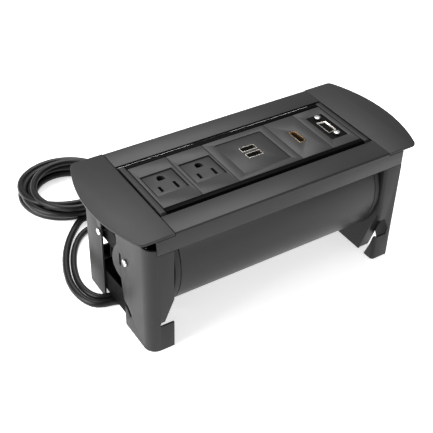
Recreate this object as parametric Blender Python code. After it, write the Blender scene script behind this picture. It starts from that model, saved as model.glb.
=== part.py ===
"""Rotating table-top power box: a drum with sockets on one flat turns half a turn inside a flush frame.

Metres, +Z up, +X along the drum, +Y to the rear. The origin is on the surface under the feet, at the middle.
All lengths below are millimetres; the helpers turn them into metres.
"""

import math

import bmesh
import bpy
from mathutils import Matrix, Vector

MM = 0.001
GAP = 0.3

# Frame
TOP = 106.5
HALF_DEPTH = 54.8
OPEN_X = 94.4
OPEN_Y = 34.3
SHEET = 1.5
CAP_THICK = 2.0
CAP_END = 133.2
CAP_ARC = 125.0
CAP_CORNER = 5.0
SKIRT = 14.5
SKIRT_LEFT = -108.9
SKIRT_RIGHT = 108.7
RAIL_ROUND = 1.6
CHANNEL_Y = 44.0
CHANNEL_Z = 101.0

# Drum
AXIS_Z = 65.5
DRUM_R = 52.0
FLAT = 41.5
WALL = 1.8
WINDOW = 27.3
DRUM_LEFT = -93.3
DRUM_RIGHT = 93.0
DISC = 4.8
HUB_R = 11.0
HUB_BORE = 8.0
PIVOT_R = 6.0
STOP_R = 22.0

# Left bay
BAY_PLATE = -116.3
BAY_FLANGE = -95.7
BAY_BEND = 9.0
REAR_FLANGE = 50.0
END_PLATE = -95.1
LEG_TOP = 96.5
TAB_TOP = TOP - CAP_THICK - GAP
SCREW_Y = 20.7
APRON = 1.0

# Right bracket
RIGHT_PLATE = 93.6
RIGHT_FLANGE = 109.0
RIGHT_BEND = 3.0

# Modules on the drum's flat
MODULE_Y = 27.0
MODULE_TOP = 106.8
MODULE_LOW = 104.4
OUTLET_X = (-71.9, -39.5)
OUTLET_EDGES = ((-87.9, -55.9), (-55.6, -24.6))
OUTLET_FACE = (26.8, 26.2)
USB_EDGES = (-24.3, 32.4)
USB_X = 4.9
USB_FACE = 42.0
USB_PORTS_Y = (6.5, -2.2)
HDMI_EDGES = (32.7, 61.2)
HDMI_X = 47.0
VGA_EDGES = (61.5, 87.8)
VGA_X = 75.8

# Cords
POWER_D = 6.0
SIGNAL_D = 5.5
POWER_COIL = (-86.0, 152.0)
SIGNAL_COIL = (64.0, 120.0)
POWER_TURNS = (24.5, 46.0)
SIGNAL_TURNS = (22.6, 39.4)
COIL_LOW = 1.6
POWER_COIL_TOP = 20.2
SIGNAL_COIL_TOP = 13.0
RELIEF = 20.0


def clear_scene():
    for old in list(bpy.data.objects):
        bpy.data.objects.remove(old, do_unlink=True)


def finish(name, color, roughness, metallic):
    """A Principled material with one colour."""
    material = bpy.data.materials.new(name)
    material.use_nodes = True
    shader = material.node_tree.nodes["Principled BSDF"]
    shader.inputs["Base Color"].default_value = (*color, 1.0)
    shader.inputs["Roughness"].default_value = roughness
    shader.inputs["Metallic"].default_value = metallic
    return material


def make_finishes():
    return {
        "coat": finish("black_powder_coat", (0.035, 0.035, 0.036), 0.5, 0.0),
        "anodised": finish("black_anodised_aluminium", (0.03, 0.03, 0.032), 0.42, 0.6),
        "plastic": finish("black_moulded_plastic", (0.045, 0.045, 0.046), 0.45, 0.0),
        "dark": finish("dark_moulded_plastic", (0.012, 0.012, 0.012), 0.5, 0.0),
        "zinc": finish("zinc_plated_steel", (0.62, 0.62, 0.6), 0.3, 1.0),
        "nickel": finish("nickel_plated_shell", (0.66, 0.6, 0.52), 0.3, 1.0),
        "brass": finish("brass_contact", (0.7, 0.5, 0.2), 0.3, 1.0),
        "board": finish("green_board", (0.02, 0.12, 0.05), 0.5, 0.0),
        "cord": finish("black_cord_jacket", (0.02, 0.02, 0.02), 0.45, 0.0),
        "acetal": finish("white_acetal", (0.7, 0.7, 0.68), 0.4, 0.0),
    }


def add_object(name, bm, look):
    bmesh.ops.remove_doubles(bm, verts=bm.verts, dist=0.00002)
    bmesh.ops.recalc_face_normals(bm, faces=bm.faces)
    mesh = bpy.data.meshes.new(name)
    bm.to_mesh(mesh)
    bm.free()
    mesh.shade_smooth()
    mesh.set_sharp_from_angle(angle=math.radians(35))
    if look is not None:
        mesh.materials.append(look)
    thing = bpy.data.objects.new(name, mesh)
    bpy.context.scene.collection.objects.link(thing)
    return thing


def add_prism(bm, outline, axis, low, high):
    """Extrudes an outline along X, Y or Z. The outline gives the other two coordinates in X, Y, Z order."""
    spots = []
    for u, v in outline:
        place = [u, v]
        place.insert(axis, low)
        spots.append(bm.verts.new(Vector(place) * MM))
    face = bm.faces.new(spots)
    swept = bmesh.ops.extrude_face_region(bm, geom=[face])
    moved = [v for v in swept["geom"] if isinstance(v, bmesh.types.BMVert)]
    way = Vector((0, 0, 0))
    way[axis] = (high - low) * MM
    bmesh.ops.translate(bm, verts=moved, vec=way)


def prism(name, outline, axis, low, high, look):
    bm = bmesh.new()
    add_prism(bm, outline, axis, low, high)
    return add_object(name, bm, look)


def add_box(bm, low, high):
    add_prism(bm, [(low[0], low[1]), (high[0], low[1]), (high[0], high[1]), (low[0], high[1])], 2, low[2], high[2])


def box(name, low, high, look):
    bm = bmesh.new()
    add_box(bm, low, high)
    return add_object(name, bm, look)


def circle(centre, radius, steps, start=0.0, end=360.0):
    """Points on an arc, without the last one when it is a full turn."""
    full = abs(end - start) >= 359.9
    count = steps if full else steps + 1
    angles = [math.radians(start + (end - start) * i / steps) for i in range(count)]
    return [(centre[0] + radius * math.cos(a), centre[1] + radius * math.sin(a)) for a in angles]


def disc(name, axis, centre, radius, low, high, look, steps=32):
    return prism(name, circle(centre, radius, steps), axis, low, high, look)


def add_ring(bm, axis, centre, inner, outer, low, high, steps):
    """A short tube: its rectangular section is spun about the axis."""
    across = Vector((0, 1, 0)) if axis != 1 else Vector((1, 0, 0))
    along = Vector((0, 0, 0))
    along[axis] = 1.0
    middle = list(centre)
    middle.insert(axis, 0.0)
    middle = Vector(middle)
    section = ((inner, low), (outer, low), (outer, high), (inner, high))
    verts = [bm.verts.new((middle + across * r + along * a) * MM) for r, a in section]
    edges = [bm.edges.new((verts[i], verts[(i + 1) % 4])) for i in range(4)]
    bmesh.ops.spin(
        bm, geom=verts + edges, cent=middle * MM, axis=along, angle=2 * math.pi, steps=steps, use_merge=True
    )


def ring(name, axis, centre, inner, outer, low, high, look, steps=32):
    bm = bmesh.new()
    add_ring(bm, axis, centre, inner, outer, low, high, steps)
    return add_object(name, bm, look)


def combine(target, other, operation):
    modifier = target.modifiers.new(operation.lower(), "BOOLEAN")
    modifier.operation = operation
    modifier.solver = "EXACT"
    modifier.object = other
    other.hide_render = True
    other.display_type = "WIRE"


def cut_prism(target, outline, axis, low, high):
    combine(target, prism(target.name + "_cutter", outline, axis, low, high, None), "DIFFERENCE")


def cut_box(target, low, high):
    combine(target, box(target.name + "_cutter", low, high, None), "DIFFERENCE")


def drill(target, axis, centre, radius, low, high, steps=24):
    cut_prism(target, circle(centre, radius, steps), axis, low, high)


def weld_prism(target, outline, axis, low, high):
    combine(target, prism(target.name + "_added", outline, axis, low, high, None), "UNION")


def smooth_route(points, spacing):
    """Points a spacing apart along a Catmull-Rom curve through the route's own points."""
    knots = [Vector(p) for p in points]
    knots = [2 * knots[0] - knots[1]] + knots + [2 * knots[-1] - knots[-2]]
    fine = []
    for a, b, c, d in zip(knots, knots[1:], knots[2:], knots[3:]):
        for step in range(24):
            t = step / 24
            spot = 2 * b + (c - a) * t + (2 * a - 5 * b + 4 * c - d) * t**2 + (3 * b - a - 3 * c + d) * t**3
            fine.append(spot * 0.5)
    fine.append(knots[-2])
    total = sum((q - p).length for p, q in zip(fine, fine[1:]))
    count = max(2, round(total / spacing))
    picked = [fine[0]]
    walked = 0.0
    for p, q in zip(fine, fine[1:]):
        walked += (q - p).length
        if walked >= total * len(picked) / count and len(picked) < count:
            picked.append(q)
    return picked + [fine[-1]]


def add_spline(data, spots, radii=(1.0, 1.0)):
    spline = data.splines.new("POLY")
    spline.points.add(len(spots) - 1)
    for index, spot in enumerate(spots):
        spline.points[index].co = (*(spot * MM), 1.0)
        spline.points[index].radius = radii[0] + (radii[1] - radii[0]) * index / (len(spots) - 1)


def cord_tube(name, points, diameter, look, radii=None, spacing=None):
    """A poly curve with a round bevel; radii scale the section along it."""
    spots = smooth_route(points, spacing or 2.6 * diameter)
    data = bpy.data.curves.new(name, "CURVE")
    data.dimensions = "3D"
    data.bevel_depth = diameter / 2 * MM
    data.bevel_resolution = 2
    data.use_fill_caps = True
    add_spline(data, spots, radii or (1.0, 1.0))
    data.materials.append(look)
    thing = bpy.data.objects.new(name, data)
    bpy.context.scene.collection.objects.link(thing)
    return thing


# ---------------------------------------------------------------- frame


def make_rail(name, side, look):
    """Top strip between the end caps, skirt a little longer, and a tube in the corner for the end screws."""
    outer = HALF_DEPTH
    centre = (outer - RAIL_ROUND, TOP - RAIL_ROUND)
    points = [(OPEN_Y, TOP)] + circle(centre, RAIL_ROUND, 6, 90, 0)
    points += [(outer, TOP - SKIRT), (outer - SHEET, TOP - SKIRT)]
    points += circle(centre, RAIL_ROUND - SHEET, 4, 0, 90) + [(OPEN_Y, TOP - SHEET)]
    rail = prism(name, [(side * y, z) for y, z in points], 0, SKIRT_LEFT, SKIRT_RIGHT, look)
    above = TOP - CAP_THICK - GAP
    cut_box(rail, (SKIRT_LEFT - 1, -60, above), (-OPEN_X + 0.15, 60, TOP + 1))
    cut_box(rail, (OPEN_X - 0.15, -60, above), (SKIRT_RIGHT + 1, 60, TOP + 1))
    y = side * CHANNEL_Y
    strut = [(y - 3.0, CHANNEL_Z), (y + 3.0, CHANNEL_Z), (y + 3.0, TOP - 0.8), (y - 3.0, TOP - 0.8)]
    strut = circle((y, CHANNEL_Z), 3.0, 10, 180, 360) + strut[2:]
    weld_prism(rail, strut, 0, DRUM_LEFT, DRUM_RIGHT)
    drill(rail, 0, (y, CHANNEL_Z), 1.6, DRUM_LEFT - 1, DRUM_LEFT + 14, 16)
    drill(rail, 0, (y, CHANNEL_Z), 1.6, DRUM_RIGHT - 14, DRUM_RIGHT + 1, 16)
    return rail


def cap_outline(side):
    """A flat end plate: straight inner edge, straight front and rear edges, a shallow arc with round corners."""
    arc_centre = CAP_END - CAP_ARC
    corner_y = HALF_DEPTH - CAP_CORNER
    reach = CAP_ARC - CAP_CORNER
    corner_x = arc_centre + math.sqrt(reach**2 - corner_y**2)
    lean = math.degrees(math.asin(corner_y / reach))
    points = [(OPEN_X + 0.15, -HALF_DEPTH)] + circle((corner_x, -corner_y), CAP_CORNER, 6, -90, -lean)
    points += circle((arc_centre, 0), CAP_ARC, 20, -lean, lean)[1:]
    points += circle((corner_x, corner_y), CAP_CORNER, 6, lean, 90)[1:] + [(OPEN_X + 0.15, HALF_DEPTH)]
    return [(side * x, y) for x, y in points]


def make_cap(name, side, look):
    cap = prism(name, cap_outline(side), 2, TOP - CAP_THICK, TOP, look)
    bevel = cap.modifiers.new("soft_edge", "BEVEL")
    bevel.width = 0.4 * MM
    bevel.segments = 2
    bevel.limit_method = "ANGLE"
    bevel.angle_limit = math.radians(60)
    return cap


def bend_path(points, radius, steps):
    """A plan line with each corner rounded."""
    line = [Vector(points[0])]
    for a, b, c in zip(points, points[1:], points[2:]):
        a, b, c = Vector(a), Vector(b), Vector(c)
        before, after = (a - b).normalized(), (c - b).normalized()
        centre = b + (before + after) * radius
        first = b + before * radius - centre
        turn = first.to_2d().angle_signed((b + after * radius - centre).to_2d())
        for i in range(steps + 1):
            spin = Matrix.Rotation(-turn * i / steps, 2)
            line.append(centre + spin @ first)
    line.append(Vector(points[-1]))
    return line


def channel(name, outer, inner, radius, low, high, look):
    """Sheet bent to a U in plan. outer and inner are the corner points of its two faces."""
    outside = bend_path(outer, radius, 6)
    inside = bend_path(inner, radius - SHEET, 6)
    outline = [tuple(p) for p in outside] + [tuple(p) for p in reversed(inside)]
    return prism(name, outline, 2, low, high, look)


def make_left_bracket(look):
    """Bay bracket: side plate with an open cable cut-out, a bent front flange and a rear flange."""
    x = BAY_PLATE
    front, rear = -HALF_DEPTH, REAR_FLANGE
    outer = [(BAY_FLANGE, front), (x, front), (x, rear), (BAY_FLANGE, rear)]
    inner = [
        (BAY_FLANGE, front + SHEET), (x + SHEET, front + SHEET),
        (x + SHEET, rear - SHEET), (BAY_FLANGE, rear - SHEET),
    ]
    bracket = channel("left_bracket", outer, inner, BAY_BEND, 0.0, TAB_TOP, look)
    side = (x - 2, x + SHEET + 2)
    # Cable cut-out, open at the bottom, with a round ear left standing at the front
    ear = [(-9.0, 44.0), (-4.5, 45.4), (-1.4, 48.0), (0.4, 51.6), (0.7, 55.4), (-0.4, 60.2), (-3.0, 66.0)]
    cutout = [(-17.0, -1), (-17.0, 19.2), (-20.6, 17.6), (-24.4, 13.6), (-26.6, 14.2), (-26.8, 17.0), (-21.6, 22.0)]
    cutout += [(-15.4, 24.4), (-12.2, 43.4)] + ear
    cutout += [(-7.2, 72.4), (-7.6, 78.0), (-4.0, 83.4), (1.0, 86.0), (10.0, 86.0)]
    cutout += [(15.6, 83.0), (18.0, 78.0), (18.0, -1)]
    cut_prism(bracket, cutout, 0, *side)
    # Shoulders: only the middle of the plate goes up to the cap
    for sign, edge in ((-1, -60.0), (1, 60.0)):
        shoulder = [(sign * 44, LEG_TOP), (edge, LEG_TOP), (edge, TOP), (sign * 44, TOP)]
        cut_prism(bracket, shoulder, 0, x - 2, BAY_FLANGE + 2)
    cut_box(bracket, (SKIRT_LEFT - GAP, -60, TOP - SKIRT - GAP), (BAY_FLANGE + 1, -HALF_DEPTH + 3, TOP))
    # Hooked foot on each flange
    hook = [
        (BAY_FLANGE + 2, 60.0), (BAY_FLANGE + 2, 24.2), (-106.6, 24.2), (-107.2, 26.2),
        (-106.4, 28.0), (-103.6, 28.0), (BAY_FLANGE, 46.5), (BAY_FLANGE, 60.0),
    ]
    cut_prism(bracket, hook, 1, front - 1, front + SHEET + 1)
    cut_prism(bracket, hook, 1, rear - SHEET - 1, rear + 1)
    weld_prism(bracket, [(x + 0.5, -30), (-102.5, -30), (-102.5, 30), (x + 0.5, 30)], 2, TAB_TOP - SHEET, TAB_TOP)
    for y in (-24, 24):
        drill(bracket, 2, (-108.0, y), 1.9, TAB_TOP - 3, TAB_TOP + 1, 16)
    for y in (-SCREW_Y, SCREW_Y):
        drill(bracket, 0, (y, AXIS_Z - 1), 1.9, *side, 16)
    tie_slot = [(-13.4, 55.5), (-10.6, 55.5), (-10.6, 66.8), (-13.4, 66.8)]
    cut_prism(bracket, tie_slot, 0, *side)
    return bracket


def make_left_end_plate(look):
    """Inner plate of the bay: carries the hollow hub's bush and is screwed to the ends of the rails."""
    # Low behind, to close the bay off, and cut back in front, over the data lead
    outline = [(51.0, TAB_TOP - GAP), (51.0, 3.0), (12.0, 3.0), (6.0, 9.0), (-8.0, 11.0), (-20.0, 24.0)]
    outline += [(-30.0, 46.0), (-40.0, 76.0), (-51.0, 88.0), (-51.0, TAB_TOP - GAP)]
    plate = prism("left_end_plate", outline, 0, END_PLATE, END_PLATE + SHEET, look)
    # Tray folded into the bay, over the cords
    tray = [(-113.0, -6.0), (END_PLATE + 0.4, -6.0), (END_PLATE + 0.4, 47.0), (-104.0, 47.0), (-113.0, 38.0)]
    weld_prism(plate, tray, 2, 9.5, 11.0)
    through = (END_PLATE - 2, END_PLATE + SHEET + 2)
    drill(plate, 0, (0, AXIS_Z), 13.3, *through, 40)
    for y in (-CHANNEL_Y, CHANNEL_Y):
        drill(plate, 0, (y, CHANNEL_Z), 1.9, *through, 16)
    for y in (-SCREW_Y, SCREW_Y):
        drill(plate, 0, (y, AXIS_Z - 1), 2.0, *through, 16)
    return plate


def make_right_bracket(look):
    """Right end: bearing plate beside the drum, flanges bent outwards, a hooked foot and a sloping stiffener."""
    x = RIGHT_PLATE
    depth = HALF_DEPTH
    rear = REAR_FLANGE
    outer = [(RIGHT_FLANGE, -depth), (x, -depth), (x, rear), (RIGHT_FLANGE, rear)]
    inner = [
        (RIGHT_FLANGE, -depth + SHEET), (x + SHEET, -depth + SHEET),
        (x + SHEET, rear - SHEET), (RIGHT_FLANGE, rear - SHEET),
    ]
    bracket = channel("right_bracket", outer, inner, RIGHT_BEND, 0.0, TAB_TOP, look)
    through = (x - 2, x + SHEET + 0.4)
    behind = x + SHEET + 0.02
    below_skirt = TOP - SKIRT - GAP
    cut_box(bracket, (x - 2, -depth - 2, below_skirt), (RIGHT_FLANGE + 2, -depth + SHEET + GAP, TOP))
    cut_box(bracket, (behind, -depth - 2, below_skirt), (RIGHT_FLANGE + 2, -depth + 4.6, TOP))
    cut_box(bracket, (behind, rear - 3.2, LEG_TOP), (RIGHT_FLANGE + 2, rear + 2, TOP))
    notch = [(x - 2, 23.2), (105.0, 23.2), (106.0, 29.5), (102.4, 38.4), (100.6, 40.4), (x - 2, 40.4)]
    for s, edge in ((-1, depth), (1, rear)):
        # The plate slopes back below the drum; the foot keeps a short return
        slope = [(2.9, 46.0), (17.6, -1.0), (10.6, -1.0), (5.2, 13.0), (2.3, 24.0), (-1.2, 24.0), (-1.2, 46.0)]
        cut_prism(bracket, [(s * (edge - d), z) for d, z in slope], 0, x - 2, behind)
        low, high = sorted((s * (edge + 1), s * (edge - 4.5)))
        cut_prism(bracket, notch, 1, low, high)
        stiffener = [(4.2, 44.0), (5.7, 44.0), (19.5, 0.0), (18.0, 0.0)]
        weld_prism(bracket, [(s * (edge - d), z) for d, z in stiffener], 0, x + 0.2, 105.2)
        # Return lip behind the hooked opening
        lip = [(0.3, 10.0), (12.0, 10.0), (15.0, 16.0), (15.0, 38.0), (8.0, 56.0), (0.3, 60.0)]
        weld_prism(bracket, [(s * (edge - d), z) for d, z in lip], 0, RIGHT_FLANGE - SHEET, RIGHT_FLANGE - 0.02)
    weld_prism(bracket, [(x + 0.5, -30), (107.0, -30), (107.0, 30), (x + 0.5, 30)], 2, TAB_TOP - SHEET, TAB_TOP)
    for y in (-24, 24):
        drill(bracket, 2, (101.5, y), 1.9, TAB_TOP - 3, TAB_TOP + 1, 16)
    drill(bracket, 0, (0, AXIS_Z), 8.3, *through, 32)
    for y in (-CHANNEL_Y, CHANNEL_Y):
        drill(bracket, 0, (y, CHANNEL_Z), 1.9, *through, 16)
    # Half-round slot that the drum's stop pin runs in
    slot = circle((0, AXIS_Z), STOP_R + 2.2, 24, -6, 186) + circle((0, AXIS_Z), STOP_R - 2.2, 20, 186, -6)
    cut_prism(bracket, slot, 0, *through)
    return bracket


def make_flanged_bush(name, x_near, x_far, flange_x, bore, outer, flange, look):
    """Plain bearing bush pressed into its plate, with a thin flange on the outer side."""
    bm = bmesh.new()
    across = [(bore, x_near), (outer, x_near), (outer, x_far), (flange, x_far), (flange, flange_x), (bore, flange_x)]
    verts = [bm.verts.new(Vector((x, r, AXIS_Z)) * MM) for r, x in across]
    edges = [bm.edges.new((verts[i], verts[(i + 1) % 6])) for i in range(6)]
    bmesh.ops.spin(
        bm, geom=verts + edges, cent=Vector((0, 0, AXIS_Z)) * MM, axis=(1, 0, 0),
        angle=2 * math.pi, steps=32, use_merge=True,
    )
    return add_object(name, bm, look)


def make_screw(name, axis, centre, head_at, out, shank_r, length, head_r, head_high, look):
    """Pan-head screw: out is +1 or -1, the way the head faces along the axis."""
    profile = [
        (0.0, -out * length), (shank_r, -out * length), (shank_r, 0.0), (head_r, 0.0),
        (head_r, out * head_high * 0.55), (head_r * 0.72, out * head_high), (0.0, out * head_high),
    ]
    across = Vector((0, 1, 0)) if axis != 1 else Vector((1, 0, 0))
    along = Vector((0, 0, 0))
    along[axis] = 1.0
    middle = list(centre)
    middle.insert(axis, head_at)
    middle = Vector(middle)
    bm = bmesh.new()
    verts = [bm.verts.new((middle + across * r + along * a) * MM) for r, a in profile]
    edges = [bm.edges.new(pair) for pair in zip(verts, verts[1:])]
    bmesh.ops.spin(
        bm, geom=verts + edges, cent=middle * MM, axis=along, angle=2 * math.pi, steps=16, use_merge=True
    )
    return add_object(name, bm, look)


def make_frame(looks):
    coat, zinc, acetal = looks["coat"], looks["zinc"], looks["acetal"]
    make_rail("front_rail", -1, looks["anodised"])
    make_rail("rear_rail", 1, looks["anodised"])
    make_cap("left_end_cap", -1, coat)
    make_cap("right_end_cap", 1, coat)
    make_left_bracket(coat)
    make_left_end_plate(coat)
    make_right_bracket(coat)
    make_flanged_bush(
        "left_bearing_bush", END_PLATE + SHEET, END_PLATE - GAP, END_PLATE - 1.5, HUB_R + 0.2, 13.0, 14.4, acetal
    )
    make_flanged_bush(
        "right_bearing_bush", RIGHT_PLATE, RIGHT_PLATE + SHEET + GAP, RIGHT_PLATE + SHEET + 1.5,
        PIVOT_R + 0.2, 8.0, 10.0, acetal,
    )
    for name, y in (("front_guide_screw", -SCREW_Y), ("rear_guide_screw", SCREW_Y)):
        make_screw(name, 0, (y, AXIS_Z - 1), BAY_PLATE - GAP, -1, 1.45, 15.0, 3.0, 1.6, zinc)


# ---------------------------------------------------------------- drum


def drum_arc(radius, flat, side, steps):
    """The drum's round side between its two flats, from the upper flat to the lower."""
    start = math.degrees(math.asin(flat / radius))
    return [(side * y, z) for y, z in circle((0, AXIS_Z), radius, steps, start, -start)]


def make_shell(name, side, look):
    inner_r = DRUM_R - WALL
    points = [(side * WINDOW, AXIS_Z + FLAT)] + drum_arc(DRUM_R, FLAT, side, 32)
    points += [(side * WINDOW, AXIS_Z - FLAT), (side * WINDOW, AXIS_Z - FLAT + WALL)]
    points += list(reversed(drum_arc(inner_r, FLAT - WALL, side, 28))) + [(side * WINDOW, AXIS_Z + FLAT - WALL)]
    return prism(name, points, 0, DRUM_LEFT + DISC + GAP, DRUM_RIGHT - DISC - GAP, look)


def make_disc(name, low, high, look):
    """End disc of the drum: round with the two flats."""
    outline = drum_arc(DRUM_R, FLAT, 1, 32)
    left = [(-y, z) for y, z in reversed(outline)]
    return prism(name, outline + left, 0, low, high, look)


def make_drum_body(looks):
    anodised, plastic, zinc = looks["anodised"], looks["plastic"], looks["zinc"]
    make_shell("front_drum_shell", -1, anodised)
    make_shell("rear_drum_shell", 1, anodised)
    inner_left = DRUM_LEFT + DISC
    inner_right = DRUM_RIGHT - DISC
    lid_low = AXIS_Z - FLAT
    box(
        "lid_panel", (inner_left + GAP, -WINDOW + GAP, lid_low),
        (inner_right - GAP, WINDOW - GAP, lid_low + 1.6), anodised,
    )
    left = make_disc("left_end_disc", DRUM_LEFT, inner_left, plastic)
    weld_prism(left, circle((0, AXIS_Z), HUB_R, 36), 0, -100.4, DRUM_LEFT + 1)
    drill(left, 0, (0, AXIS_Z), HUB_BORE, -102, inner_left + 2, 32)
    combine(left, ring("hub_groove_cutter", 0, (0, AXIS_Z), 10.0, 12.5, -98.9, -97.5, None, 32), "DIFFERENCE")
    right = make_disc("right_end_disc", inner_right, DRUM_RIGHT, plastic)
    weld_prism(right, circle((0, AXIS_Z), PIVOT_R, 28), 0, DRUM_RIGHT - 1, 101.0)
    combine(right, ring("pivot_groove_cutter", 0, (0, AXIS_Z), 5.0, 7.5, 98.6, 100.0, None, 34), "DIFFERENCE")
    weld_prism(right, circle((STOP_R, AXIS_Z), 1.5, 14), 0, DRUM_RIGHT - 1, 97.6)
    ring("left_retaining_ring", 0, (0, AXIS_Z), 10.3, 13.0, -98.7, -97.7, zinc)
    ring("right_retaining_ring", 0, (0, AXIS_Z), 5.3, 8.5, 98.8, 99.8, zinc)
    ring("friction_washer", 0, (0, AXIS_Z), PIVOT_R + 0.3, 9.5, 96.9, 98.3, zinc)


def make_module_plate(name, edges, look):
    plate = box(name, (edges[0], -MODULE_Y, MODULE_LOW), (edges[1], MODULE_Y, MODULE_TOP), look)
    return plate


def make_outlet(index, x, edges, looks):
    """North American grounded outlet: frame, recessed face with three openings, contacts, housing behind."""
    half_x, half_y = OUTLET_FACE[0] / 2, OUTLET_FACE[1] / 2
    frame = make_module_plate(f"outlet_frame_{index}", edges, looks["plastic"])
    cut_box(frame, (x - half_x, -half_y, MODULE_LOW - 1), (x + half_x, half_y, MODULE_TOP + 1))
    top = MODULE_TOP - 0.7
    face = box(
        f"outlet_face_{index}", (x - half_x + 0.7, -half_y + GAP, top - 3.4),
        (x + half_x - 0.7, half_y - 0.7, top), looks["plastic"],
    )
    through = (top - 5, top + 1)
    blades = ((x - 6.35, 6.6), (x + 6.35, 8.2))
    for blade_x, long in blades:
        slot = [(blade_x - 1.2, -5.95 - long / 2), (blade_x + 1.2, -5.95 - long / 2)]
        slot += [(blade_x + 1.2, -5.95 + long / 2), (blade_x - 1.2, -5.95 + long / 2)]
        cut_prism(face, slot, 2, *through)
    ground = [(x - 3.0, 3.4), (x + 3.0, 3.4)] + circle((x, 6.2), 3.0, 10, 0, 180)
    cut_prism(face, ground, 2, *through)
    low = 80.0
    housing = box(f"outlet_housing_{index}", (x - 14.6, -16.0, low), (x + 14.6, 16.0, top - 3.7), looks["dark"])
    cut_box(housing, (x - 11.0, -12.6, low + 2), (x + 11.0, 12.6, top))
    block = box(
        f"outlet_contacts_{index}", (x - 10.6, -12.2, low + 2 + GAP), (x + 10.6, 12.2, low + 5), looks["brass"]
    )
    for blade_x, long in blades:
        for side in (-1, 1):
            near, far = sorted((blade_x + side * 1.3, blade_x + side * 2.2))
            spots = [(near, -5.95 - long / 2), (far, -5.95 - long / 2), (far, -5.95 + long / 2), (near, -5.95 + long / 2)]
            weld_prism(block, spots, 2, low + 4, top - 4.4)
    combine(block, ring("ground_sleeve", 2, (x, 6.0), 2.7, 3.6, low + 4, top - 4.4, None, 16), "UNION")


def make_usb(looks):
    half = USB_FACE / 2
    frame = make_module_plate("usb_frame", USB_EDGES, looks["plastic"])
    cut_box(frame, (USB_X - half, -half, MODULE_LOW - 1), (USB_X + half, half, MODULE_TOP + 1))
    top = MODULE_TOP - 0.4
    face = box(
        "usb_face", (USB_X - half + GAP, -half + GAP, top - 2.6),
        (USB_X + half - GAP, half - GAP, top), looks["plastic"],
    )
    block_low = top - 12.0
    tongues = box(
        "usb_port_block", (USB_X - 6.0, USB_PORTS_Y[1] - 2.4, block_low - 1.8), (USB_X + 6.0, 9.0, block_low - GAP),
        looks["dark"],
    )
    for number, y in enumerate(USB_PORTS_Y, 1):
        cut_box(face, (USB_X - 6.9, y - 3.3, top - 5), (USB_X + 6.9, y + 3.3, top + 1))
        shell = bmesh.new()
        add_tube(shell, (USB_X, y), (13.2, 6.0), 0.35, block_low, top - 0.2)
        add_object(f"usb_shell_{number}", shell, looks["nickel"])
        tongue = [(USB_X - 5.6, y + 0.5), (USB_X + 5.6, y + 0.5), (USB_X + 5.6, y + 2.3), (USB_X - 5.6, y + 2.3)]
        weld_prism(tongues, tongue, 2, block_low - 1.0, top - 1.8)
    box("usb_charger_board", (USB_X - 19, -18, top - 16.0), (USB_X + 19, 18, top - 14.4), looks["board"])


def add_tube(bm, centre, size, wall, low, high):
    """Rectangular open tube standing along Z."""
    x, y = centre
    outer = [(-1, -1), (1, -1), (1, 1), (-1, 1)]
    half_x, half_y = size[0] / 2, size[1] / 2
    rings = []
    for shrink, z in ((0, low), (0, high), (wall, high), (wall, low)):
        spots = [Vector((x + a * (half_x - shrink), y + b * (half_y - shrink), z)) * MM for a, b in outer]
        rings.append([bm.verts.new(p) for p in spots])
    for first, second in zip(rings, rings[1:] + rings[:1]):
        for i in range(4):
            bm.faces.new((first[i], first[(i + 1) % 4], second[(i + 1) % 4], second[i]))


def make_hdmi(looks):
    plate = make_module_plate("hdmi_plate", HDMI_EDGES, looks["plastic"])
    x = HDMI_X
    mouth = hdmi_outline(0.3)
    cut_prism(plate, mouth, 2, MODULE_LOW - 1, MODULE_TOP + 1)
    shell = prism("hdmi_shell", hdmi_outline(0.0), 2, MODULE_TOP - 11.5, MODULE_TOP - 0.2, looks["nickel"])
    cut_prism(shell, hdmi_outline(-0.45), 2, MODULE_TOP - 10.5, MODULE_TOP + 1)
    box(
        "hdmi_tongue", (x - 1.1, -6.2, MODULE_TOP - 10.2), (x + 0.6, 6.2, MODULE_TOP - 1.6), looks["dark"],
    )


def hdmi_outline(grow):
    """Long hexagon of the connector, with its longer side to the left."""
    x = HDMI_X
    wide, narrow, half = 8.0 + grow, 6.2 + grow, 3.1 + grow
    return [(x - half, -wide), (x + 0.6, -wide), (x + half, -narrow), (x + half, narrow), (x + 0.6, wide), (x - half, wide)]


def vga_outline(grow):
    """D-shaped shell of the connector, with its longer side to the left."""
    x = VGA_X
    wide, narrow, half = 8.4 + grow, 7.0 + grow, 4.1 + grow
    return [(x - half, -wide), (x + half, -narrow), (x + half, narrow), (x - half, wide)]


def make_vga(looks):
    plate = make_module_plate("vga_plate", VGA_EDGES, looks["plastic"])
    cut_box(plate, (VGA_X - 7.9, -17.1, MODULE_LOW - 1), (VGA_X + 7.9, 17.1, MODULE_TOP + 1))
    top = MODULE_TOP - 0.3
    bezel = box(
        "vga_bezel", (VGA_X - 7.6, -16.8, top - 2.0), (VGA_X + 7.6, 16.8, top), looks["dark"],
    )
    cut_prism(bezel, vga_outline(0.3), 2, top - 4, top + 1)
    for y in (-12.5, 12.5):
        drill(bezel, 2, (VGA_X, y), 1.9, top - 4, top + 1, 16)
    shell = prism("vga_shell", vga_outline(0.0), 2, top - 8.0, top + 0.1, looks["nickel"])
    cut_prism(shell, vga_outline(-0.5), 2, top - 7.2, top + 1)
    prism("vga_insert", vga_outline(-0.8), 2, top - 6.9, top - 0.9, looks["dark"])
    for name, y in (("vga_front_jack_screw", -12.5), ("vga_rear_jack_screw", 12.5)):
        screw = disc(name, 2, (VGA_X, y), 1.6, top - 6.0, top + 0.6, looks["nickel"], 14)
        weld_prism(screw, circle((VGA_X, y), 2.7, 6, 30, 390), 2, top + GAP, top + 2.2)


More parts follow.
